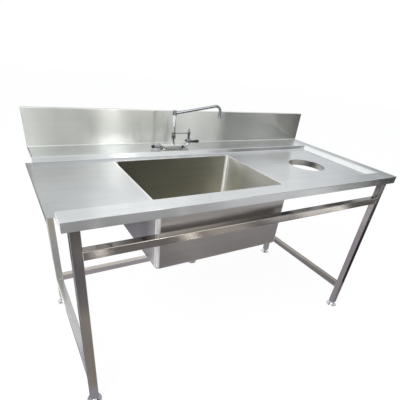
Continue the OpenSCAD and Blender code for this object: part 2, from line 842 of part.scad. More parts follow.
// Brace between the riser and the post
module cross_link() {
    z0 = link_z - link_ring;
    h = 2 * link_ring;
    color("#d0d2d4") at_tap() difference() {
        union() {
            translate([0, 0, link_z]) rotate([0, 90, 0]) cylinder(r = link_r, h = post_x);
            translate([0, 0, z0]) cylinder(r = riser_r + link_wall, h = h);
            translate([post_x, 0, z0]) cylinder(r = post_r + link_wall, h = h);
        }
        translate([0, 0, z0 - lap]) cylinder(r = riser_r, h = h + 2 * lap);
        translate([post_x, 0, z0 - lap]) cylinder(r = post_r, h = h + 2 * lap);
    }
}

// Lever hub on its spindle, with the arm that carries the grip
module lever_hub() {
    l = 2 * hub_half;
    color("#c6c8ca") at_tap() translate([post_x, -boss_l - gap, valve_z]) {
        rotate([90, 0, 0]) cylinder(r = grip_x - 0.5, h = l);
        rotate([-90, 0, 0]) cylinder(r = stem_r, h = boss_l - 2);
        translate([0, -l / 2, 0]) rotate([0, 90, 0]) cylinder(r = spindle_r, h = 2 * grip_x);
    }
}

// Tapered black grip
module lever_grip() {
    color("#18181a") at_tap() translate([post_x + grip_x, -grip_y, valve_z]) rotate([0, 90, 0])
        difference() {
            rotate_extrude() polygon([[0, 0], [4.2, 0], [4.8, 2], [7.3, grip_l - 6], [6.6, grip_l - 2],
                [4.5, grip_l], [0, grip_l]]);
            translate([0, 0, -lap]) cylinder(r = spindle_r, h = grip_x + lap);
        }
}

// Stop valve's round knob on the front of the body
module stop_knob() {
    color("#1a1a1c") at_tap() translate([stop_x, -stop_y - gap, body_z]) {
        rotate([90, 0, 0]) rotate_extrude() polygon([[0, 0], [3.5, 0], [5.8, 2.5], [6.2, 5.5], [4.6, 9],
            [2, 10.4], [0, 10.6]]);
        rotate([-90, 0, 0]) cylinder(r = stem_r, h = stop_stem);
    }
}

worktop();
backsplash();
sink_bowl();
scrap_collar();
top_stiffeners();
leg_plates();
leg(leg_xl, leg_yf);  // leg_front_left
leg(leg_xr, leg_yf);  // leg_front_right
leg(leg_xl, leg_yr);  // leg_rear_left
leg(leg_xr, leg_yr);  // leg_rear_right
front_rail();
rear_rail();
side_rail_left();
side_rail_right();
foot_inserts();
foot(leg_xl, leg_yf);  // foot_front_left
foot(leg_xr, leg_yf);  // foot_front_right
foot(leg_xl, leg_yr);  // foot_rear_left
foot(leg_xr, leg_yr);  // foot_rear_right
waste_flange();
waste_seal();
waste_nut();
waste_slip_nut();
waste_tailpiece();
strainer_basket();
basket_knob();
tap_base_plate();
tap_body();
tap_shanks();
tap_washers();
tap_back_nuts();
tap_riser();
tap_union_nut();
spout_cap();
spout();
spout_seals();
spout_nozzle();
hot_cartridge();
hot_spindle();
hot_handle();
hot_handle_cap();
cold_cartridge();
valve_post();
valve_end_cap();
post_nipple();
cross_link();
lever_hub();
lever_grip();
stop_knob();
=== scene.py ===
import math
import bmesh
import bpy
from mathutils import Matrix, Quaternion, Vector


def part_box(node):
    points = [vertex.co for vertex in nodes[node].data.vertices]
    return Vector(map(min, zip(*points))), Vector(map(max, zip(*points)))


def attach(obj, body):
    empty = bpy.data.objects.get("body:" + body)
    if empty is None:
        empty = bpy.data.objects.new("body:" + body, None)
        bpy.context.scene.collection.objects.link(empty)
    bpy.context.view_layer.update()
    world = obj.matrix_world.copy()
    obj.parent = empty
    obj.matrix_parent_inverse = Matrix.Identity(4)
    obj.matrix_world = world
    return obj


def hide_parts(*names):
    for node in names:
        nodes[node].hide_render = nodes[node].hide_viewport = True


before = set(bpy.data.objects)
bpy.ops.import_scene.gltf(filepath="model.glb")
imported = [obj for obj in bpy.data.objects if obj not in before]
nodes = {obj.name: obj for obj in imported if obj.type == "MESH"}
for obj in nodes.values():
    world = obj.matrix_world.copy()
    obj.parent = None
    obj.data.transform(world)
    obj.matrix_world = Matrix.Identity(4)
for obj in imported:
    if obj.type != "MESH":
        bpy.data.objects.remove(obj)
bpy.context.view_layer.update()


# Camera: held above the left end of the front edge, looking down across the table, rolled a few degrees.
eye = Vector((-0.81028, -1.12005, 1.19633))
look_right = math.radians(34.597)
look_down = math.radians(32.224)
roll = math.radians(7.456)
forward = Vector((math.sin(look_right) * math.cos(look_down), math.cos(look_right) * math.cos(look_down),
                  -math.sin(look_down)))
lens = bpy.data.cameras.new("photo_lens")
lens.sensor_width = 36
lens.lens = 28.662
lens.shift_x = -0.01297
lens.shift_y = 0.13348
camera = bpy.data.objects.new("photo_camera", lens)
camera.location = eye
camera.rotation_mode = "QUATERNION"
camera.rotation_quaternion = forward.to_track_quat("-Z", "Y") @ Quaternion((0, 0, 1), roll)
bpy.context.scene.collection.objects.link(camera)
bpy.context.scene.camera = camera
bpy.context.scene.view_settings.view_transform = "Standard"


# Studio: a pale floor and white surroundings, soft lamps, and cards that only the polished steel sees, which
# give it the greys that a workshop would.
def add(tree, kind, inputs=None, **settings):
    """A node of this kind, with its settings made and its inputs set or linked."""
    node = tree.nodes.new(kind)
    for key, value in settings.items():
        setattr(node, key, value)
    for key, value in (inputs or {}).items():
        if isinstance(value, bpy.types.NodeSocket):
            tree.links.new(value, node.inputs[key])
        else:
            node.inputs[key].default_value = value
    return node


def math_node(tree, operation, *values, clamp=False):
    node = add(tree, "ShaderNodeMath", dict(enumerate(values)), operation=operation, use_clamp=clamp)
    return node.outputs[0]


def seen_directly(tree):
    """1 where a camera, mirror or glass ray looks, so that the background shows white in all three."""
    path = add(tree, "ShaderNodeLightPath").outputs
    glossy = math_node(tree, "ADD", path["Is Glossy Ray"], path["Is Transmission Ray"])
    return math_node(tree, "ADD", path["Is Camera Ray"], glossy, clamp=True)


def new_material(name):
    material = bpy.data.materials.new(name)
    material.use_nodes = True
    tree = material.node_tree
    tree.nodes.clear()
    return material, tree, add(tree, "ShaderNodeOutputMaterial").inputs["Surface"]


world = bpy.data.worlds.new("studio_air")
bpy.context.scene.world = world
world.use_nodes = True
air = world.node_tree
air.nodes.clear()
light_strength = 0.62
white_strength = 1.02
lit = add(air, "ShaderNodeBackground", {"Color": (0.96, 0.98, 1, 1), "Strength": light_strength}).outputs[0]
white = add(air, "ShaderNodeBackground", {"Color": (1, 1, 1, 1), "Strength": white_strength}).outputs[0]
choice = add(air, "ShaderNodeMixShader", {0: seen_directly(air), 1: lit, 2: white}).outputs[0]
add(air, "ShaderNodeOutputWorld", {"Surface": choice})

floor_half = 14
floor_grey = 0.82
floor_glow = 1.1
glow_share = 0.82
floor_mesh = bpy.data.meshes.new("floor")
floor_mesh.from_pydata([(x, y, 0) for x, y in ((-1, -1), (1, -1), (1, 1), (-1, 1))], [], [(0, 1, 2, 3)])
floor_mesh.transform(Matrix.Scale(floor_half, 4))
floor = bpy.data.objects.new("floor", floor_mesh)
bpy.context.scene.collection.objects.link(floor)
floor_paint, tree, surface = new_material("pale_floor")
paper = add(tree, "ShaderNodeBsdfDiffuse", {"Color": (floor_grey, floor_grey, floor_grey, 1)}).outputs[0]
glow = add(tree, "ShaderNodeEmission", {"Color": (1, 1, 1, 1), "Strength": floor_glow}).outputs[0]
share = math_node(tree, "MULTIPLY", seen_directly(tree), glow_share)
tree.links.new(add(tree, "ShaderNodeMixShader", {0: share, 1: paper, 2: glow}).outputs[0], surface)
floor_mesh.materials.append(floor_paint)


def card(name, centre, headings, width, height, colour, strength=1.0):
    """A flat glowing panel that only reflections see, with the headings of its width and its height."""
    across = Vector(headings[0]).normalized() * width / 2
    up = Vector(headings[1]).normalized() * height / 2
    centre = Vector(centre)
    mesh = bpy.data.meshes.new(name)
    corners = [centre - across - up, centre + across - up, centre + across + up, centre - across + up]
    mesh.from_pydata(corners, [], [(0, 1, 2, 3)])
    obj = bpy.data.objects.new(name, mesh)
    bpy.context.scene.collection.objects.link(obj)
    material, tree, surface = new_material(name)
    shine = add(tree, "ShaderNodeEmission", {"Color": (*colour, 1), "Strength": strength})
    tree.links.new(shine.outputs[0], surface)
    mesh.materials.append(material)
    obj.visible_camera = False
    obj.visible_diffuse = False
    obj.visible_shadow = False


on_floor = ((1, 0, 0), (0, 1, 0))
facing_table = ((1, 0, 0), (0, 0, 1))
facing_end = ((0, 1, 0), (0, 0, 1))
facing_corner = ((0.583, 0.813, 0), (0, 0, 1))
slanting_end = ((-0.74, 3.25, 0), (0, 0, 1))

# Floor in front of the table and to its right.
card("near_floor", (0.3, -0.65, 0.003), on_floor, 4.2, 0.5, (0.42, 0.39, 0.35))
card("dark_floor", (0.3, -1.08, 0.004), on_floor, 4.2, 0.4, (0.24, 0.23, 0.25))
card("middle_floor", (-0.4, -2.2, 0.003), on_floor, 3.2, 1.9, (0.20, 0.19, 0.185))
card("light_floor", (2.17, -2.2, 0.003), on_floor, 1.96, 1.5, (1, 0.99, 1), 1.15)
card("dark_right", (1.9, -0.9, 0.006), on_floor, 1.9, 1.0, (0.05, 0.05, 0.055))
card("black_right", (4.69, -1.9, 0.007), on_floor, 3.1, 2.6, (0.03, 0.035, 0.03))
# Walls in front: a dim one in the right corner with two lighter bands on it, and a hazy one on the left.
card("dim_wall", (4.73, -2.94, 1.4), facing_corner, 4.3, 2.8, (0.045, 0.045, 0.04))
card("wall_band", (3.95, -3.65, 1.2), facing_corner, 0.26, 2.4, (0.30, 0.31, 0.33))
card("wall_above", (3.77, -4.28, 3.6), facing_corner, 0.9, 1.7, (0.045, 0.045, 0.04))
card("wall_end", (4.53, -3.22, 1.2), facing_corner, 0.3, 2.4, (0.32, 0.32, 0.31))
card("front_haze", (-0.06, -4.0, 1.3), facing_table, 0.8, 2.6, (0.60, 0.61, 0.59))
# Floor under the table, behind it and beside its left end.
card("shade_under_table", (0.02, 0.15, 0.003), on_floor, 2.4, 1.1, (0.48, 0.47, 0.54))
card("shade_behind", (-1.1, 1.43, 0.003), on_floor, 1.0, 0.94, (0.36, 0.35, 0.37))
card("shade_left", (-0.9, 0.81, 0.004), on_floor, 0.6, 0.3, (0.58, 0.56, 0.66))
card("bright_left", (-0.9, 0.45, 0.005), on_floor, 0.6, 0.42, (1, 0.99, 1), 1.3)
# Far side of the room, from left to right.
card("haze_behind_left", (-0.8, 3.4, 1.05), facing_table, 2.0, 2.1, (0.33, 0.35, 0.37))
card("haze_behind", (0.55, 3.4, 1.05), facing_table, 0.7, 2.1, (0.48, 0.50, 0.52))
card("bright_behind", (1.45, 3.4, 1.05), facing_table, 1.1, 2.1, (0.95, 0.97, 1))
card("haze_behind_right", (4.1, 3.4, 1.05), facing_table, 4.2, 2.1, (0.72, 0.745, 0.77))
card("haze_high_right", (6.0, 3.42, 2.75), facing_table, 2.6, 1.3, (0.76, 0.77, 0.78))
# Both ends of the room, and a light spot on the floor to the right.
card("dark_left", (-2.2, 0.4, 1.4), facing_end, 2.4, 1.2, (0.07, 0.07, 0.07))
card("bright_floor_strip", (3.05, -1.90, 0.010), on_floor, 0.16, 0.60, (1, 0.97, 0.93), 2.0)
card("haze_at_right", (5.1, 0.73, 1.6), slanting_end, 3.4, 3.2, (0.46, 0.48, 0.49))
# Narrow lights in front, which the splash shows as soft upright streaks.
card("bright_strip", (0.50, -2.57, 1.45), facing_table, 0.09, 0.56, (1, 1, 1), 12)
card("soft_strip", (0.56, -2.60, 1.30), facing_table, 0.9, 0.80, (1, 1, 1), 1.2)
card("high_strip", (0.60, -2.57, 2.5), facing_table, 0.10, 1.8, (1, 1, 1), 2.2)
# Light and dim patches on the floor, which the front rail shows along its length.
rail_patches = ((-0.41, 0.07, 2.0), (0.27, 0.06, 2.8), (0.62, 0.46, 0.62), (1.29, 0.32, 0.22),
                (1.69, 0.48, 1.2), (1.99, 0.14, 2.2))
for x, width, strength in rail_patches:
    card("bright_patch", (x, -1.36, 0.008), on_floor, width, 0.22, (1, 0.98, 0.95), strength)
card("dark_patch", (2.62, -1.44, 0.009), on_floor, 0.94, 0.32, (0.05, 0.05, 0.05))


def lamp(name, place, target, size, watts):
    """A soft square lamp at place, facing target."""
    data = bpy.data.lights.new(name, "AREA")
    data.shape = "SQUARE"
    data.size = size
    data.energy = watts
    obj = bpy.data.objects.new(name, data)
    obj.location = place
    obj.rotation_mode = "QUATERNION"
    obj.rotation_quaternion = (Vector(target) - Vector(place)).to_track_quat("-Z", "Y")
    bpy.context.scene.collection.objects.link(obj)


lamp("lamp_over_left", (-2.4, -1.1, 2.5), (-0.1, 0, 0.75), 1.8, 46)
lamp("lamp_over_back", (0.45, 1.55, 2.8), (0.1, 0, 0.8), 1.2, 2.5)


# Worktop: one stainless sheet, 1.5 mm, pressed and folded. The front rim, the right rim and the rear ledge
# stand above the recessed surfaces. The corners are welded and ground flush, and all is brushed lengthways.
left_lip = 0.024
front_rim = 0.068
right_rim = 0.053
ledge = 0.137
step_height = 0.019
step_run = 0.006
right_step_run = 0.022
bowl_from_left = 0.318
bowl_length = 0.556
back_strip = 0.042
hole_radius = 0.088
hole_from_right = 0.299
hole_from_front = 0.290
step_fold = 0.0025
lip_bend = 0.0045
cut_round = 0.0011
soft_edge = 0.0004
crisp_edge = 0.0003
close = 2e-5
low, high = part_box("worktop")
rim_top = high.z
pan_top = rim_top - step_height
left_end = low.x
rim_left = left_end + left_lip
right_end = high.x
front_face = low.y
splash_face = high.y
rim_inside = front_face + front_rim
ledge_front = splash_face - ledge
right_step_top = right_end - right_rim
right_step_foot = right_step_top - right_step_run
bowl_left = left_end + bowl_from_left
bowl_right = bowl_left + bowl_length
bowl_back = ledge_front - back_strip
hole = Vector((right_end - hole_from_right, front_face + hole_from_front))


def near(a, b):
    return abs(a - b) < close


def is_sharp(edge):
    return len(edge.link_faces) == 2 and edge.calc_face_angle(0) > math.radians(30)


def rounded_copy(node, edge, steps, folds=()):
    """A node's mesh as flat faces and smooth bends. Each fold is a radius and a test that picks its edges.
    Every other sharp edge is broken by the edge size."""
    bm = bmesh.new()
    bm.from_mesh(nodes[node].data)
    bmesh.ops.remove_doubles(bm, verts=bm.verts, dist=1e-6)
    bmesh.ops.dissolve_limit(bm, angle_limit=math.radians(0.5), verts=bm.verts, edges=bm.edges)
    for radius, picks in folds:
        chosen = [e for e in bm.edges if is_sharp(e) and picks(e.verts[0].co, e.verts[1].co)]
        bmesh.ops.bevel(bm, geom=chosen, offset=radius, segments=4, profile=0.5, affect="EDGES")
    chosen = [e for e in bm.edges if is_sharp(e)]
    bmesh.ops.bevel(bm, geom=chosen, offset=edge, segments=steps, profile=0.5, affect="EDGES")
    return bm


def finish_piece(bm, name, material, body, node):
    """Turns a bmesh into a finished piece with smooth bends and flat faces, which rides on its body and
    replaces its node."""
    mesh = bpy.data.meshes.new(name)
    bm.to_mesh(mesh)
    bm.free()
    mesh.materials.append(material)
    mesh.shade_smooth()
    mesh.set_sharp_from_angle(angle=math.radians(40))
    obj = bpy.data.objects.new(name, mesh)
    bpy.context.scene.collection.objects.link(obj)
    flat = obj.modifiers.new("flat_faces", "WEIGHTED_NORMAL")
    flat.keep_sharp = True
    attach(obj, body)
    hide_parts(node)
    return obj


def vector_node(tree, operation, *values):
    node = add(tree, "ShaderNodeVectorMath", operation=operation)
    for i, value in enumerate(values):
        index = 3 if operation == "SCALE" and i == 1 else i
        if isinstance(value, bpy.types.NodeSocket):
            tree.links.new(value, node.inputs[index])
        else:
            node.inputs[index].default_value = value
    return node.outputs["Value" if operation == "DOT_PRODUCT" else "Vector"]


def brushed(name, colour, grain, roughness, pull=0.7, tone=0.10, warm=(1, 1, 1), lines=0.1, grain_mask=None,
            fade=None, band=None, edge_on=1.0):
    """Brushed stainless steel: fine lines along the grain, soft bands, a faint cloudy tone and a wavy sheet.
    pull is how far the highlight is drawn across the grain, tone how far the colour varies, warm its tint
    where light, and lines how deep the lines are. grain_mask gives a second grain and a 0 to 1 mask for
    where it runs. fade paints light or shade along a piece: it gives a heading, where it starts and ends
    along it, and how strong the colour is at both. band gives a 0 to 1 mask for where a weld was ground,
    its colour painted near white as a highlight. edge_on is how much of the glare seen edge on is left."""
    material, tree, surface = new_material(name)
    place = add(tree, "ShaderNodeTexCoord").outputs["Object"]
    direction = add(tree, "ShaderNodeCombineXYZ", dict(zip("XYZ", grain))).outputs[0]
    if grain_mask:
        second, mask = grain_mask
        other = add(tree, "ShaderNodeCombineXYZ", dict(zip("XYZ", second))).outputs[0]
        direction = add(tree, "ShaderNodeMix", {0: mask(tree, place), 4: direction, 5: other},
                        data_type="VECTOR").outputs[1]
    along = vector_node(tree, "DOT_PRODUCT", place, direction)
    across = vector_node(tree, "CROSS_PRODUCT", place, direction)

    def noise(spot, scale, detail, grit):
        settings = {"Vector": spot, "Scale": scale, "Detail": detail, "Roughness": grit}
        return add(tree, "ShaderNodeTexNoise", settings).outputs[0]

    def streaks(per_metre_along, per_metre_across):
        run = vector_node(tree, "SCALE", direction, math_node(tree, "MULTIPLY", along, per_metre_along))
        spot = vector_node(tree, "ADD", run, vector_node(tree, "SCALE", across, per_metre_across))
        return noise(spot, 1, 2, 0.6)

    fine = streaks(4.0, 900.0)
    bands = streaks(1.2, 60.0)
    cloud = noise(place, 2.6, 2, 0.5)
    mottle = noise(place, 14, 3, 0.6)
    cloud_share, band_share, mottle_share = 0.6, 0.25, 0.15
    cloud_level = math_node(tree, "MULTIPLY", cloud, cloud_share)
    level = math_node(tree, "ADD", cloud_level, math_node(tree, "MULTIPLY", bands, band_share))
    level = math_node(tree, "ADD", level, math_node(tree, "MULTIPLY", mottle, mottle_share), clamp=True)
    dark = tuple(c * (1 - tone) for c in colour)
    light = tuple(min(1, c * (1 + tone) * w) for c, w in zip(colour, warm))
    ramp = add(tree, "ShaderNodeMapRange", {0: level, 1: 0.35, 2: 0.65}).outputs[0]
    tint = add(tree, "ShaderNodeMix", {0: ramp, 6: (*dark, 1), 7: (*light, 1)}, data_type="RGBA").outputs[2]
    cloud_gloss = 0.06
    least_rough = roughness - cloud_gloss / 2 - lines / 2
    cloud_rough = math_node(tree, "ADD", math_node(tree, "MULTIPLY", cloud, cloud_gloss), least_rough)
    rough = math_node(tree, "ADD", math_node(tree, "MULTIPLY", fine, lines), cloud_rough)
    # Painted light and shade: the colour is scaled up or down along a heading.
    if fade:
        heading, start, end, low, high = fade
        course = vector_node(tree, "DOT_PRODUCT", place, heading)
        factor = add(tree, "ShaderNodeMapRange", {0: course, 1: start, 2: end, 3: low, 4: high}).outputs[0]
        tint = vector_node(tree, "SCALE", tint, factor)
    # A ground weld, its colour painted near white as a highlight.
    if band:
        ground_weld_and_glint = band(tree, place)
        bright = (1, 1, 1, 1)
        ground_gloss = 0.08
        tint = add(tree, "ShaderNodeMix", {0: ground_weld_and_glint, 6: tint, 7: bright}, data_type="RGBA").outputs[2]
        rough = math_node(tree, "MULTIPLY_ADD", ground_weld_and_glint, -ground_gloss, rough)
    scratches = {"Height": fine, "Strength": lines, "Distance": 0.0003}
    scratched = add(tree, "ShaderNodeBump", scratches).outputs[0]
    swell = {"Height": noise(place, 3.4, 1, 0.4), "Strength": 1, "Distance": 0.006, "Normal": scratched}
    normal = add(tree, "ShaderNodeBump", swell).outputs[0]
    facing = add(tree, "ShaderNodeNewGeometry").outputs["Normal"]
    pulled = vector_node(tree, "NORMALIZE", vector_node(tree, "CROSS_PRODUCT", facing, direction))
    steel = add(tree, "ShaderNodeBsdfPrincipled", {
        "Base Color": tint, "Metallic": 1.0, "Roughness": rough, "Anisotropic": pull, "Tangent": pulled,
        "Normal": normal, "Specular Tint": (edge_on, edge_on, edge_on, 1)})
    tree.links.new(steel.outputs[0], surface)
    return material


def on_right_rim(tree, place):
    """1 on the right rim and its slope, from the welded mitre at the front to the butt weld at the ledge."""
    x, y, _ = add(tree, "ShaderNodeSeparateXYZ", {0: place}).outputs
    lower = math_node(tree, "MULTIPLY_ADD", x, -step_run / right_step_run,
                      rim_inside + right_step_top * step_run / right_step_run)
    outer = math_node(tree, "MULTIPLY_ADD", x, -front_rim / right_rim,
                      rim_inside + right_step_top * front_rim / right_rim)
    past_mitre = math_node(tree, "GREATER_THAN", y, math_node(tree, "MINIMUM", lower, outer))
    before_ledge = math_node(tree, "LESS_THAN", y, ledge_front)
    past_foot = math_node(tree, "GREATER_THAN", x, right_step_foot)
    return math_node(tree, "MULTIPLY", math_node(tree, "MULTIPLY", past_mitre, before_ledge), past_foot)


def bowl_weld_and_glint(tree, place):
    """1 on the ground weld that runs round the bowl's opening, where a highlight is painted near white."""
    x, y, _ = add(tree, "ShaderNodeSeparateXYZ", {0: place}).outputs
    off_x = math_node(tree, "SUBTRACT", x, (bowl_left + bowl_right) / 2)
    off_y = math_node(tree, "SUBTRACT", y, (rim_inside + bowl_back) / 2)
    past_x = math_node(tree, "SUBTRACT", math_node(tree, "ABSOLUTE", off_x), bowl_length / 2)
    past_y = math_node(tree, "SUBTRACT", math_node(tree, "ABSOLUTE", off_y), (bowl_back - rim_inside) / 2)
    away = math_node(tree, "MAXIMUM", past_x, past_y)
    full_to, gone_at, strength = 0.004, 0.007, 0.8
    fading = {0: away, 1: full_to, 2: gone_at, 3: strength, 4: 0.0}
    return add(tree, "ShaderNodeMapRange", fading).outputs[0]


# The top is painted darker at its right end, as shade. Along the table the recessed sheet is painted darker
# at its left end and the underside lighter at its left end, painted shade and light.
top_steel = brushed("brushed_top_sheet", (0.72, 0.74, 0.75), (1, 0, 0), 0.25, 0.92, 0.08, lines=0.06,
                    grain_mask=((0, 1, 0), on_right_rim), fade=((1, 0, 0), 0.665, 0.735, 0.97, 0.70))
# Underside: a mill finish, rougher and painted darker than the top as shade, and lighter towards its left
# end.
under_sheet = brushed("mill_finish_underside_painted_shade", (0.42, 0.42, 0.41), (1, 0, 0), 0.40, 0.5, 0.08,
                      fade=((1, 0, 0), -0.5, 0.1, 1.6, 1.0))
# Recessed sheet: painted darker towards its left end as shade, and the ground weld round the bowl's opening
# painted near white as a highlight.
pan_steel = brushed("brushed_pan_sheet", (0.66, 0.68, 0.69), (1, 0, 0), 0.25, 0.92, 0.08, lines=0.06,
                    fade=((1, 0, 0), -0.75, -0.42, 0.76, 1.04), band=bowl_weld_and_glint)


def top_fold(a, b):
    """The folds between the rims, the slopes and the recessed surfaces."""
    if near(a.z, rim_top) and near(b.z, rim_top):
        if any(near(a.y, y) and near(b.y, y) for y in (rim_inside, ledge_front)):
            return not (bowl_left - close < (a.x + b.x) / 2 < bowl_right + close and near(a.y, rim_inside))
        return near(a.x, right_step_top) and near(b.x, right_step_top)
    if near(a.z, pan_top) and near(b.z, pan_top):
        feet = (rim_inside + step_run, ledge_front - step_run)
        if any(near(a.y, y) and near(b.y, y) for y in feet):
            return True
        return near(a.x, right_step_foot) and near(b.x, right_step_foot)
    return False


def cut_edge(a, b):
    """The sheet's upper edge round the bowl and round the scrap hole."""
    if not (near(a.z, pan_top) and near(b.z, pan_top)):
        return False
    middle = ((a + b) / 2).xy
    facet_sag = 0.001
    if abs((middle - hole).length - hole_radius) < facet_sag:
        return True
    beside = bowl_left - close < middle.x < bowl_right + close and middle.y < bowl_back + close
    return beside and not (near(a.y, rim_inside + step_run) and near(b.y, rim_inside + step_run))


def lip_fold(a, b):
    """The folds along the open left end, where the pan, and the ledge beside it, turn down."""
    if all(near(v.x, rim_left) and near(v.z, rim_top) and v.y > 0 for v in (a, b)):
        return True
    return all(near(v.x, left_end) and near(v.z, pan_top) for v in (a, b))


top_face, end_face, pan_face, lip_face, under_face = range(5)
# The front rim's left end is a ground cut end, its colour painted near white as a highlight. The turned-down
# lip and the ledge's left end are painted dark as shade.
end_steel = brushed("ground_rim_end_painted_highlight", (0.95, 0.95, 0.96), (0, 1, 0), 0.7, 0.2, 0.03)
shaded_lip_steel = brushed("turned_down_lip_painted_shade", (0.16, 0.16, 0.16), (0, 1, 0), 0.35, 0.5, 0.05)
folds = [(step_fold, top_fold), (lip_bend, lip_fold), (cut_round, cut_edge)]
bm = rounded_copy("worktop", crisp_edge, 1, folds)
lip_depth = 0.005
for face in bm.faces:
    middle = face.calc_center_median()
    at_rear = middle.y > 0
    on_lip = middle.x < left_end + lip_depth or at_rear and middle.x < rim_left + lip_depth
    face.material_index = top_face
    # Faces turned to the left: the front rim's end takes the painted highlight, the ledge's end and the lip
    # the painted shade.
    if face.normal.x < -0.9 and near(middle.x, rim_left):
        face.material_index = lip_face if at_rear else end_face
    elif face.normal.x < -0.3 and on_lip:
        face.material_index = lip_face
    elif face.normal.z > 0.99 and near(middle.z, pan_top):
        face.material_index = pan_face
    elif face.normal.z < -0.7:
        face.material_index = under_face
worktop = finish_piece(bm, "worktop_sheet", top_steel, "table", "worktop")
for material in (end_steel, pan_steel, shaded_lip_steel, under_sheet):
    worktop.data.materials.append(material)


# Backsplash: an upstand folded from the same sheet, with a return and a lip at its top and closed ends. It
# is welded to the ledge along its foot, and the weld is ground to a small cove.
cove_size = 0.0035
cove_steps = 5
# The splash is painted lighter at its left end, as reflected light.
splash_steel = brushed("brushed_splash_sheet", (0.76, 0.77, 0.73), (1, 0, 0), 0.25, 1.0, 0.05, lines=0.04,
                       fade=((1, 0, 0), -0.70, -0.60, 1.22, 1.0))
bm = rounded_copy("backsplash", soft_edge, 1)
section = [(splash_face, rim_top), (splash_face - cove_size, rim_top)]
for step in range(1, cove_steps):
    turn = math.pi / 2 * step / cove_steps
    in_front = cove_size * (1 - math.sin(turn))
    section.append((splash_face - in_front, rim_top + cove_size * (1 - math.cos(turn))))
section.append((splash_face, rim_top + cove_size))
ends = [[bm.verts.new((x, y, z)) for y, z in section] for x in (rim_left, right_end)]
bm.faces.new(ends[0])
bm.faces.new(reversed(ends[1]))
for i in range(len(section)):
    j = (i + 1) % len(section)
    bm.faces.new((ends[0][j], ends[0][i], ends[1][i], ends[1][j]))
finish_piece(bm, "splash_sheet", splash_steel, "table", "backsplash")


# Sink bowl: pressed and welded box with rounded corners, its flange welded under the worktop. The inside is
# satin, rougher than the top, with the grain running round the walls, and the corner welds are polished.
# The colours paint light and shade: the inside darker than the top, darkest towards its top at the far left,
# its end walls lighter, the outer ends dark but lighter towards the front, and the corner welds near white
# as highlights.
end_wall = 0.7
corner_slant = 0.15


def on_end_wall(tree, place):
    """1 on the walls that face along the length, where the grain runs the other way."""
    facing = add(tree, "ShaderNodeNewGeometry").outputs["Normal"]
    sideways = add(tree, "ShaderNodeSeparateXYZ", {0: facing}).outputs[0]
    return math_node(tree, "GREATER_THAN", math_node(tree, "ABSOLUTE", sideways), end_wall)


across_ends = ((0, 1, 0), on_end_wall)
outside, outside_end, inside, inside_end, corner_weld = range(5)
bowl_sheets = [
    brushed("bowl_outer_sheet", (0.46, 0.445, 0.44), (1, 0, 0), 0.30, 0.8, 0.12),
    # Outer ends: painted dark as shade, lighter towards the front as reflected light.
    brushed("bowl_outer_ends_painted_shade", (0.18, 0.17, 0.175), (0, 1, 0), 0.26, 0.8, 0.14,
            fade=((0, 1, 0), -0.275, -0.19, 2.8, 1.0)),
    # Inside: painted dark as shade, darker towards the top left and lighter towards the bottom right.
    brushed("bowl_inner_sheet_painted_shade", (0.34, 0.335, 0.28), (1, 0, 0), 0.32, 0.8, 0.14,
            fade=((0.63, 0, -1), -0.989, -0.503, 0.53, 1.60)),
    # Inner end walls: painted light, lighter towards the back.
    brushed("bowl_inner_ends_painted_light", (0.82, 0.82, 0.80), (0, 1, 0), 0.42, 0.9, 0.08,
            fade=((0, 1, 0), 0.0, 0.12, 1.0, 1.5)),
    # Corner welds: polished, their colour painted white as highlights.
    brushed("bowl_corner_polish_and_highlight", (1, 1, 1), (1, 0, 0), 0.42, 0.95, 0.0, grain_mask=across_ends)]
bm = rounded_copy("sink_bowl", soft_edge, 1)
bowl_middle = Vector(((bowl_left + bowl_right) / 2, (rim_inside + bowl_back) / 2))
for face in bm.faces:
    inward = face.normal.xy.dot(bowl_middle - face.calc_center_median().xy) > 0 or face.normal.z > 0.5
    if min(abs(face.normal.x), abs(face.normal.y)) > corner_slant:
        face.material_index = corner_weld
    elif abs(face.normal.x) > end_wall:
        face.material_index = inside_end if inward else outside_end
    else:
        face.material_index = inside if inward else outside
bowl = finish_piece(bm, "bowl_shell", bowl_sheets[0], "table", "sink_bowl")
for material in bowl_sheets[1:]:
    bowl.data.materials.append(material)


# Welds: runs of small overlapping beads, laid by hand with the torch and left as they are where they don't
# show. The bowl's flange is stitched to the underside of the worktop.
def shape_tree(name, sizes):
    """A Geometry Nodes tree with a named input for each size."""
    tree = bpy.data.node_groups.new(name, "GeometryNodeTree")
    tree.interface.new_socket("Geometry", in_out="OUTPUT", socket_type="NodeSocketGeometry")
    tree.interface.new_socket("Geometry", in_out="INPUT", socket_type="NodeSocketGeometry")
    for key, value in sizes.items():
        kind = "NodeSocketInt" if isinstance(value, int) else "NodeSocketFloat"
        tree.interface.new_socket(key, in_out="INPUT", socket_type=kind).default_value = value
    return tree, add(tree, "NodeGroupInput").outputs, add(tree, "NodeGroupOutput").inputs[0]


def place_on_points(tree, points, shape, result, **more):
    """Sets the shape on every point, makes the copies real and gives them the tree's material."""
    settings = {"Points": points, "Instance": shape, **more}
    copies = add(tree, "GeometryNodeInstanceOnPoints", settings).outputs[0]
    real = add(tree, "GeometryNodeRealizeInstances", {"Geometry": copies}).outputs[0]
    dressed = add(tree, "GeometryNodeSetMaterial", {"Geometry": real}).outputs[0]
    tree.links.new(dressed, result)


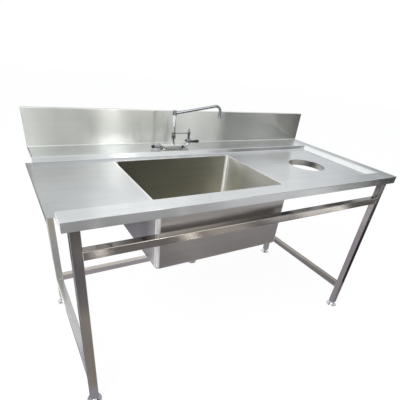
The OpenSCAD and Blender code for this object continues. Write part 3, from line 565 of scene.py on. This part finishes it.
def grown(name, tree, spots, links, sizes, material, body):
    """The piece that a tree makes on a seed mesh of spots and links: a plain mesh that rides on its body."""
    seed = bpy.data.meshes.new(name + "_seed")
    seed.from_pydata(spots, links, [])
    obj = bpy.data.objects.new(name, seed)
    bpy.context.scene.collection.objects.link(obj)
    modifier = obj.modifiers.new(name, "NODES")
    modifier.node_group = tree
    tree.nodes["Set Material"].inputs["Material"].default_value = material
    for item in tree.interface.items_tree:
        if item.in_out == "INPUT" and item.name in sizes:
            modifier[item.identifier] = sizes[item.name]
    ready = obj.evaluated_get(bpy.context.evaluated_depsgraph_get())
    mesh = bpy.data.meshes.new_from_object(ready)
    obj.modifiers.remove(modifier)
    obj.data = mesh
    bpy.data.meshes.remove(seed)
    mesh.shade_smooth()
    mesh.set_sharp_from_angle(angle=math.radians(40))
    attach(obj, body)
    return obj


def polished(name, colour, roughness, smudge=0.06):
    """Polished metal with faint smudges."""
    material, tree, surface = new_material(name)
    place = add(tree, "ShaderNodeTexCoord").outputs["Object"]
    smudges = {"Vector": place, "Scale": 60, "Detail": 3, "Roughness": 0.6}
    film = add(tree, "ShaderNodeTexNoise", smudges).outputs[0]
    specks = add(tree, "ShaderNodeTexNoise", {"Vector": place, "Scale": 700, "Detail": 1}).outputs[0]
    rough = math_node(tree, "MULTIPLY_ADD", film, smudge, roughness - smudge / 2)
    dark = tuple(c * 0.9 for c in colour)
    tint = add(tree, "ShaderNodeMix", {0: film, 6: (*dark, 1), 7: (*colour, 1)}, data_type="RGBA").outputs[2]
    bump = add(tree, "ShaderNodeBump", {"Height": specks, "Strength": 0.05, "Distance": 0.0001}).outputs[0]
    metal = add(tree, "ShaderNodeBsdfPrincipled", {"Base Color": tint, "Metallic": 1.0, "Roughness": rough,
                                                   "Normal": bump})
    tree.links.new(metal.outputs[0], surface)
    return material


weld_run, given, result = shape_tree("weld_run", {
    "Pitch": 0.002, "Bead Radius": 0.002, "Flatness": 1.0, "Unevenness": 0.15, "Seed": 3})
seam = add(weld_run, "GeometryNodeMeshToCurve", {"Mesh": given["Geometry"]}).outputs[0]
steps_along = {"Curve": seam, "Length": given["Pitch"]}
stops = add(weld_run, "GeometryNodeResampleCurve", steps_along, mode="LENGTH").outputs[0]
round_bead = {"Segments": 8, "Rings": 5, "Radius": given["Bead Radius"]}
bead = add(weld_run, "GeometryNodeMeshUVSphere", round_bead).outputs[0]
least = math_node(weld_run, "SUBTRACT", 1.0, given["Unevenness"])
uneven = add(weld_run, "FunctionNodeRandomValue", {2: least, 3: 1.0, "Seed": given["Seed"]}).outputs[1]
flattened = add(weld_run, "ShaderNodeCombineXYZ", {0: 1.0, 1: 1.0, 2: given["Flatness"]}).outputs[0]
scaled = {0: flattened, "Scale": uneven}
bead_size = add(weld_run, "ShaderNodeVectorMath", scaled, operation="SCALE").outputs[0]
place_on_points(weld_run, stops, bead, result, Scale=bead_size)

weld_steel = polished("weld_metal", (0.66, 0.65, 0.62), 0.28, 0.12)
sheet = 0.0015
stitch = 0.028
stitch_gap = 0.075
first_gap = 0.0525
low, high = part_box("sink_bowl")
seam_z = pan_top - sheet
spots = []
flange = [(low.x, rim_inside + step_run), (low.x, high.y), (high.x, high.y), (high.x, rim_inside + step_run)]
for start, end in zip(flange, flange[1:]):
    start, end = Vector((*start, seam_z)), Vector((*end, seam_z))
    heading = (end - start).normalized()
    count = int((end - start).length / (stitch + stitch_gap))
    for i in range(count):
        first = start + heading * (first_gap + i * (stitch + stitch_gap))
        spots += [first, first + heading * stitch]
links = [(i, i + 1) for i in range(0, len(spots), 2)]
stitch_bead = {"Pitch": 0.0022, "Bead Radius": 0.0019}
grown("bowl_stitch_welds", weld_run, spots, links, stitch_bead, weld_steel, "table")


# Scrap collar: a strip of stainless sheet rolled into a ring and welded flush in the hole of the right-hand
# surface, open below so that scraps fall into a bin.
def dressed_node(node, material, body, edge=soft_edge, steps=2):
    """A node's own shape with its edges broken, in its real finish."""
    return finish_piece(rounded_copy(node, edge, steps), node + "_piece", material, body, node)


collar_steel = brushed("rolled_collar", (0.50, 0.50, 0.48), (0, 0, 1), 0.30)
collar_edge = 0.0005
dressed_node("scrap_collar", collar_steel, "table", collar_edge, 3)


# Stiffening channels: three lengths of folded stainless sheet across the underside of the top, held by spot
# welds through their webs. The welds of the outer two are drawn.
under_steel = brushed("mill_finish_sheet", (0.50, 0.51, 0.52), (0, 1, 0), 0.38)
dressed_node("top_stiffeners", under_steel, "table", steps=1)
channel_width = 0.040
spot_margin = 0.020
spot_welds = {"Pitch": 0.055, "Bead Radius": 0.0032, "Flatness": 0.18, "Unevenness": 0.1}
low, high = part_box("top_stiffeners")
spots = []
for middle in (low.x + channel_width / 2, high.x - channel_width / 2):
    for side in (-1, 1):
        spots += [Vector((middle + side * channel_width / 4, y, pan_top - 2 * sheet))
                  for y in (low.y + spot_margin, high.y - spot_margin)]
links = [(i, i + 1) for i in range(0, len(spots), 2)]
grown("channel_spot_welds", weld_run, spots, links, spot_welds, under_steel, "table")


# Leg plates: 3 mm stainless plates, cut to fit round the tops of the legs. They are welded to the legs and
# to the underside of the rim, and tie the two together.
dressed_node("leg_plates", under_steel, "table", steps=1)


# Legs: four lengths of 30 mm square stainless tube, satin ground along their height, cut square and welded
# to the plates above. The pairs are lit and shaded copies of one steel: the front pair is painted darker as
# shade, darker towards the top and darkest on the left leg's outer face and the right leg's front, and the
# rear pair is painted lighter, and darker low down as shade.
# Front pair: painted darker than the rear pair as shade, darker still towards the top.
leg_steel = brushed("tube_along_height", (0.42, 0.41, 0.41), (0, 0, 1), 0.24, tone=0.16,
                    warm=(1.04, 1, 0.95), fade=((0, 0, 1), 0.50, 0.80, 1.05, 0.80))
# Rear pair: painted lighter, and darker low down as shade.
rear_leg_steel = brushed("rear_tube_along_height", (0.74, 0.74, 0.67), (0, 0, 1), 0.26, tone=0.12,
                         fade=((0, 0, 1), 0.25, 0.5, 0.68, 1.0))
shaded_leg_steel = brushed("shaded_tube_along_height", (0.24, 0.24, 0.24), (0, 0, 1), 0.17, 0.5, tone=0.16)
# Left leg's outer face: painted dark as shade, darkest at the top, with its glare seen edge on cut down.
shaded_outer_leg_steel = brushed("shaded_outer_tube_along_height", (0.30, 0.30, 0.31), (0, 0, 1), 0.24, 0.5, tone=0.16,
                          fade=((0, 0, 1), 0.34, 0.62, 2.4, 0.5), edge_on=0.32)
for node, shaded_side, shaded_steel in (("leg_front_left", (-1, 0, 0), shaded_outer_leg_steel),
                                    ("leg_front_right", (0, -1, 0), shaded_leg_steel)):
    leg = dressed_node(node, leg_steel, "table", crisp_edge, 1)
    leg.data.materials.append(shaded_steel)
    for face in leg.data.polygons:
        face.material_index = 1 if face.normal.dot(Vector(shaded_side)) > 0.9 else 0
for node in ("leg_rear_left", "leg_rear_right"):
    dressed_node(node, rear_leg_steel, "table", crisp_edge, 1)


# Rails: the same tube, cut between the legs. One ties the front legs under the apron and low ones tie the
# sides and the back, the right one painted darker as shade. Each end is butted against its leg and welded
# all round, with the beads left as laid.
long_rail_steel = brushed("tube_along_length", (0.54, 0.52, 0.50), (1, 0, 0), 0.15, 0.5, 0.14,
                          warm=(1.05, 1, 0.93))
left_rail_steel = brushed("left_tube_along_depth", (0.56, 0.56, 0.55), (0, 1, 0), 0.24, tone=0.16)
# Right rail: painted darker than the left one, as shade.
shaded_right_rail_steel = brushed("shaded_right_tube_along_depth", (0.32, 0.30, 0.27), (0, 1, 0), 0.24, tone=0.16)
weld_sink = 0.0009
rail_bead = {"Pitch": 0.0017, "Bead Radius": 0.0014, "Unevenness": 0.2}
spots = []
links = []
for node, run, steel in (("front_rail", 0, long_rail_steel), ("rear_rail", 0, long_rail_steel),
                         ("side_rail_left", 1, left_rail_steel), ("side_rail_right", 1, shaded_right_rail_steel)):
    dressed_node(node, steel, "table", crisp_edge, 1)
    low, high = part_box(node)
    across = 1 - run
    near_side, far_side = low[across] + weld_sink, high[across] - weld_sink
    for end in (low[run] - weld_sink / 2, high[run] + weld_sink / 2):
        first = len(spots)
        for side, z in ((near_side, low.z), (far_side, low.z), (far_side, high.z), (near_side, high.z)):
            spots.append(Vector((end, side, z)) if run == 0 else Vector((side, end, z)))
        links += [(first + i, first + (i + 1) % 4) for i in range(4)]
grown("rail_welds", weld_run, spots, links, rail_bead, weld_steel, "table")


# Leg plugs: black moulded plastic, pressed into the lower ends of the legs. Each has a threaded bore down
# its middle for the foot's screw.
def moulded(name, colour, roughness, grains=900, depth=0.06):
    """Moulded plastic or rubber: a fine grain, so many to the metre, and a slightly uneven gloss."""
    material, tree, surface = new_material(name)
    place = add(tree, "ShaderNodeTexCoord").outputs["Object"]
    cloud = add(tree, "ShaderNodeTexNoise", {"Vector": place, "Scale": 45, "Detail": 2}).outputs[0]
    grain = add(tree, "ShaderNodeTexNoise", {"Vector": place, "Scale": grains, "Detail": 2}).outputs[0]
    light = tuple(c * 1.5 for c in colour)
    shades = {0: cloud, 6: (*colour, 1), 7: (*light, 1)}
    tint = add(tree, "ShaderNodeMix", shades, data_type="RGBA").outputs[2]
    rough = math_node(tree, "MULTIPLY_ADD", cloud, 0.16, roughness - 0.08)
    bump = add(tree, "ShaderNodeBump", {"Height": grain, "Strength": depth, "Distance": 0.0002}).outputs[0]
    plastic = add(tree, "ShaderNodeBsdfPrincipled", {"Base Color": tint, "Roughness": rough, "Normal": bump})
    tree.links.new(plastic.outputs[0], surface)
    return material


plug_plastic = moulded("plug_plastic", (0.05, 0.05, 0.055), 0.5)
dressed_node("foot_inserts", plug_plastic, "table", steps=1)


# Feet: turned and polished stainless steel, flange, hub and screw in one. The screw has a rolled thread and
# turns in its plug to level the table.
foot_steel = polished("polished_foot", (0.78, 0.79, 0.80), 0.18)
screw_radius = 0.006
screw_pitch = 0.0018
screw_start = 0.0235
screw_end_gap = 0.001
thread, given, result = shape_tree("screw_thread", {
    "Radius": screw_radius, "Pitch": screw_pitch, "Turns": 10.0, "Ridge": 0.0005})
rise = math_node(thread, "MULTIPLY", given["Pitch"], given["Turns"])
winding = {"Resolution": 20, "Rotations": given["Turns"], "Height": rise,
           "Start Radius": given["Radius"], "End Radius": given["Radius"]}
coil = add(thread, "GeometryNodeCurveSpiral", winding).outputs[0]
upright = add(thread, "GeometryNodeSetCurveNormal", {"Curve": coil}, mode="Z_UP").outputs[0]
ridge_section = {"Resolution": 4, "Radius": given["Ridge"]}
ridge = add(thread, "GeometryNodeCurvePrimitiveCircle", ridge_section).outputs[0]
swept = {"Curve": upright, "Profile Curve": ridge, "Fill Caps": True}
wound = add(thread, "GeometryNodeCurveToMesh", swept).outputs[0]
axes = add(thread, "GeometryNodeMeshToPoints", {"Mesh": given["Geometry"]}).outputs[0]
place_on_points(thread, axes, wound, result)
for corner in ("front_left", "front_right", "rear_left", "rear_right"):
    body = "screw_foot_" + corner
    dressed_node("foot_" + corner, foot_steel, body)
    low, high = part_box("foot_" + corner)
    start = ((low.x + high.x) / 2, (low.y + high.y) / 2, screw_start)
    turns = (high.z - screw_end_gap - screw_start) / screw_pitch
    screw = {"Radius": screw_radius, "Pitch": screw_pitch, "Turns": turns}
    grown("foot_thread_" + corner, thread, [start], [], screw, foot_steel, body)


# Waste: a pressed stainless cup through the bowl floor. A rubber seal and a plated nut under the floor clamp
# it there.
waste_steel = polished("polished_waste", (0.60, 0.61, 0.62), 0.18)
waste_chrome = polished("plated_waste", (0.70, 0.71, 0.72), 0.12)
seal_rubber = moulded("seal_rubber", (0.02, 0.02, 0.02), 0.6, 500, 0.15)
dressed_node("waste_flange", waste_steel, "table", crisp_edge, 1)
dressed_node("waste_seal", seal_rubber, "table", crisp_edge, 1)
dressed_node("waste_nut", waste_chrome, "table", crisp_edge, 1)


# Outlet pipe: plated brass tube with a stepped neck, drawn up to the cup's spigot by a coupling nut. A trap
# is pushed on from below.
for node in ("waste_slip_nut", "waste_tailpiece"):
    dressed_node(node, waste_chrome, "table", crisp_edge, 1)


# Strainer basket: pressed and pierced stainless cup that hangs in the waste, with a turned knob riveted to
# its middle. It lifts straight out.
basket_edge = 0.0002
dressed_node("strainer_basket", waste_steel, "basket", basket_edge, 1)
dressed_node("basket_knob", waste_steel, "basket", crisp_edge)


# Tap base and body: a cast and chromed brass plate on the ledge, and the cross bar over it, which bends up
# at its ends into the riser and the valve post.
# Chrome for the smaller tap pieces, painted dark as a painted reflection of dark surroundings.
tap_chrome = polished("tap_chrome_plate", (0.36, 0.37, 0.39), 0.08, 0.05)
satin_chrome = polished("satin_chrome_body", (0.72, 0.73, 0.72), 0.32, 0.08)
for node in ("tap_base_plate", "tap_body"):
    dressed_node(node, satin_chrome, "table")


# Tap inlets: threaded brass shanks through the ledge, clamped from below by rubber washers and hexagon nuts.
# The supply hoses screw on the threads at their ends.
valve_brass = polished("turned_brass", (0.66, 0.50, 0.26), 0.25)
for node in ("tap_shanks", "tap_back_nuts"):
    dressed_node(node, valve_brass, "table", crisp_edge)
dressed_node("tap_washers", seal_rubber, "table", crisp_edge)
shank_radius = 0.010
tail = {"Radius": 0.009, "Pitch": screw_pitch, "Turns": 9.0}
low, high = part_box("tap_shanks")
tail_end = low.z + screw_end_gap
spots = [(x, (low.y + high.y) / 2, tail_end) for x in (low.x + shank_radius, high.x - shank_radius)]
grown("shank_threads", thread, spots, [], tail, valve_brass, "table")


# Riser: chromed brass tube on the elbow of the body, with a turned collar at its foot and a union nut on it.
# Both pieces are painted brighter than the cast body and the other chrome, as a highlight.
bright_chrome = polished("bright_chrome_tube", (0.85, 0.86, 0.86), 0.07, 0.05)
for node in ("tap_riser", "tap_union_nut"):
    dressed_node(node, bright_chrome, "table")


# Spout: bent chromed tube, rougher than the other chrome and painted dark as shade, brazed to a bored hub.
# The hub turns on the riser's spigot between two rubber rings and is held by a domed cap, and a nozzle is
# screwed on the tube's end.
shaded_spout_chrome = polished("rough_shaded_chrome_spout", (0.25, 0.26, 0.28), 0.24, 0.05)
dressed_node("spout_cap", tap_chrome, "table")
dressed_node("spout", shaded_spout_chrome, "spout_arm", crisp_edge)
dressed_node("spout_seals", seal_rubber, "spout_arm", crisp_edge)
dressed_node("spout_nozzle", tap_chrome, "spout_arm", crisp_edge)


# Left valve: a brass cartridge in the end of the body, its spindle, a coned chrome handle with a round
# skirt, and a black moulded cap on its end, ribbed for the fingers.
black_plastic = moulded("black_handle_plastic", (0.012, 0.012, 0.014), 0.28)
grip_ribs, given, result = shape_tree("grip_ribs", {
    "Count": 16, "Radius": 0.006, "Rib Length": 0.004, "Rib Width": 0.0008, "Rib Depth": 0.0006})
ring = {"Vertices": given["Count"], "Radius": given["Radius"]}
round_edge = add(grip_ribs, "GeometryNodeMeshCircle", ring).outputs[0]
three_sizes = {0: given["Rib Depth"], 1: given["Rib Width"], 2: given["Rib Length"]}
rib_size = add(grip_ribs, "ShaderNodeCombineXYZ", three_sizes).outputs[0]
rib = add(grip_ribs, "GeometryNodeMeshCube", {"Size": rib_size}).outputs[0]
outward = add(grip_ribs, "GeometryNodeInputPosition").outputs[0]
turned = add(grip_ribs, "FunctionNodeAlignRotationToVector", {"Vector": outward}, axis="X").outputs[0]
place_on_points(grip_ribs, round_edge, rib, result, Rotation=turned)


def ribs(name, centre, axis, sizes, body):
    """Ribs round a centre, along an axis, in black plastic."""
    obj = grown(name, grip_ribs, [(0, 0, 0)], [], sizes, black_plastic, body)
    turn = Vector((0, 0, 1)).rotation_difference(Vector(axis)).to_matrix().to_4x4()
    obj.data.transform(Matrix.Translation(centre) @ turn)


dressed_node("hot_cartridge", valve_brass, "table", crisp_edge)
dressed_node("hot_spindle", valve_brass, "hot_valve", crisp_edge)
dressed_node("hot_handle", tap_chrome, "hot_valve", crisp_edge)
dressed_node("hot_handle_cap", black_plastic, "hot_valve", crisp_edge)
low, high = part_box("hot_handle_cap")
ribbed_part = 0.45
cap_ribs = {"Count": 18, "Radius": (high.z - low.z) / 2, "Rib Length": (high.x - low.x) * ribbed_part}
ribs("hot_cap_ribs", (low + high) / 2, (1, 0, 0), cap_ribs, "hot_valve")


# Valve post: chromed brass pipe with a bored valve block across it, a brass cartridge inside, a plastic end
# cap, a vent nipple on top, and a brace that links it to the riser.
for node in ("valve_post", "post_nipple", "cross_link"):
    dressed_node(node, tap_chrome, "table")
dressed_node("cold_cartridge", valve_brass, "table", crisp_edge)
dressed_node("valve_end_cap", black_plastic, "table", crisp_edge)


# Lever: a chromed hub on the stem of the valve across the post, and a tapered black plastic grip pushed on
# the hub's arm.
dressed_node("lever_hub", tap_chrome, "cold_lever", crisp_edge)
dressed_node("lever_grip", black_plastic, "cold_lever", crisp_edge)


# Stop knob: moulded black plastic, pushed on the stem of the stop valve in the front of the body. Short ribs
# run round its widest part.
dressed_node("stop_knob", black_plastic, "stop_valve", crisp_edge)
low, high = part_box("stop_knob")
ribs_from_front = 0.0054
knob_ribs = {"Count": 14, "Radius": 0.0060, "Rib Length": 0.0032, "Rib Depth": 0.0009}
ribs_middle = ((low.x + high.x) / 2, low.y + ribs_from_front, (low.z + high.z) / 2)
ribs("stop_knob_ribs", ribs_middle, (0, 1, 0), knob_ribs, "stop_valve")
